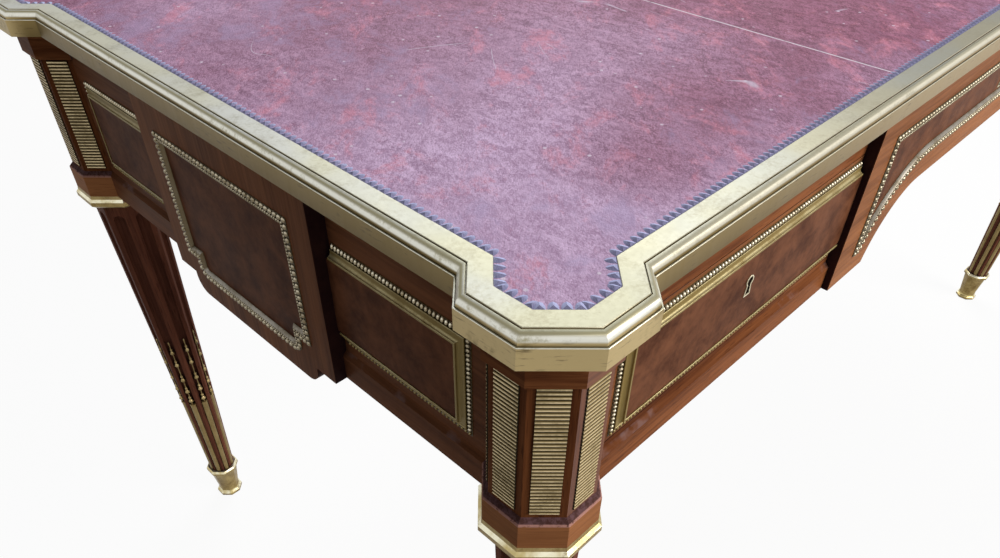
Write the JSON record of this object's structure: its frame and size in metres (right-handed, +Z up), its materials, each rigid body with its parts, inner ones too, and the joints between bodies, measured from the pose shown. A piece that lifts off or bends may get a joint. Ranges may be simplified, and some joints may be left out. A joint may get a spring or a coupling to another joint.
{
  "type": "bureau plat",
  "caption": "Flat-topped writing desk with octagonal fluted legs, a leather top in a brass edge, side drawers and an arched centre drawer, with beaded gilt-brass frames.",
  "frame": {"origin": "on the floor under the middle of the desk", "axes": "+Z up, +X to the right seen from the front, the drawers open towards -Y"},
  "size_m": [1.533, 0.775, 0.77],
  "materials": {
    "mahogany": "polished",
    "figured_mahogany": "polished veneer",
    "oak": "plain",
    "gilt_brass": "aged gilt",
    "leather": "worn, blind tooled border",
    "steel": "plain"
  },
  "bodies": {
    "frame": {"back_bottom_rails": "mahogany", "back_centre_front": "figured_mahogany", "back_false_front_left": "figured_mahogany", "back_false_front_right": "figured_mahogany", "back_mounts": "gilt_brass", "back_top_rail": "mahogany", "chandelles": "gilt_brass", "corner_stiles": "mahogany", "divider_left": "oak", "divider_right": "oak", "drawer_kickers": "oak", "drawer_runners": "oak", "end_board_left": "mahogany", "end_board_right": "mahogany", "end_mounts_left": "gilt_brass", "end_mounts_right": "gilt_brass", "end_tablet_left": "figured_mahogany", "end_tablet_right": "figured_mahogany", "front_bottom_rail_left": "mahogany", "front_bottom_rail_right": "mahogany", "front_top_rail": "mahogany", "leather_top": "leather", "leg_back_left": "mahogany", "leg_back_right": "mahogany", "leg_collars": "gilt_brass", "leg_front_left": "mahogany", "leg_front_right": "mahogany", "reeded_panels": "gilt_brass", "sabot_back_left": "gilt_brass", "sabot_back_right": "gilt_brass", "sabot_front_left": "gilt_brass", "sabot_front_right": "gilt_brass", "top_edge": "gilt_brass", "top_panel": "oak", "top_screws": "steel"},
    "drawer_left": {"drawer_left_back": "oak", "drawer_left_bottom": "oak", "drawer_left_escutcheon": "gilt_brass", "drawer_left_front": "figured_mahogany", "drawer_left_lock": "gilt_brass", "drawer_left_mounts": "gilt_brass", "drawer_left_sides": "oak"},
    "bolt_left": {"drawer_left_bolt": "steel"},
    "drawer_centre": {"drawer_centre_back": "oak", "drawer_centre_bottom": "oak", "drawer_centre_escutcheon": "gilt_brass", "drawer_centre_front": "figured_mahogany", "drawer_centre_lock": "gilt_brass", "drawer_centre_mounts": "gilt_brass", "drawer_centre_sides": "oak"},
    "bolt_centre": {"drawer_centre_bolt": "steel"},
    "drawer_right": {"drawer_right_back": "oak", "drawer_right_bottom": "oak", "drawer_right_escutcheon": "gilt_brass", "drawer_right_front": "figured_mahogany", "drawer_right_lock": "gilt_brass", "drawer_right_mounts": "gilt_brass", "drawer_right_sides": "oak"},
    "bolt_right": {"drawer_right_bolt": "steel"}
  },
  "joints": [
    {"name": "left_drawer_slide", "type": "slide", "parent": "frame", "child": "drawer_left", "axis": [0, -1, 0], "range_m": [0, 0.4]},
    {"name": "left_lock_bolt", "type": "slide", "parent": "drawer_left", "child": "bolt_left", "axis": [0, 0, 1], "range_m": [0, 0.008]},
    {"name": "centre_drawer_slide", "type": "slide", "parent": "frame", "child": "drawer_centre", "axis": [0, -1, 0], "range_m": [0, 0.4]},
    {"name": "centre_lock_bolt", "type": "slide", "parent": "drawer_centre", "child": "bolt_centre", "axis": [0, 0, 1], "range_m": [0, 0.008]},
    {"name": "right_drawer_slide", "type": "slide", "parent": "frame", "child": "drawer_right", "axis": [0, -1, 0], "range_m": [0, 0.4]},
    {"name": "right_lock_bolt", "type": "slide", "parent": "drawer_right", "child": "bolt_right", "axis": [0, 0, 1], "range_m": [0, 0.008]}
  ]
}
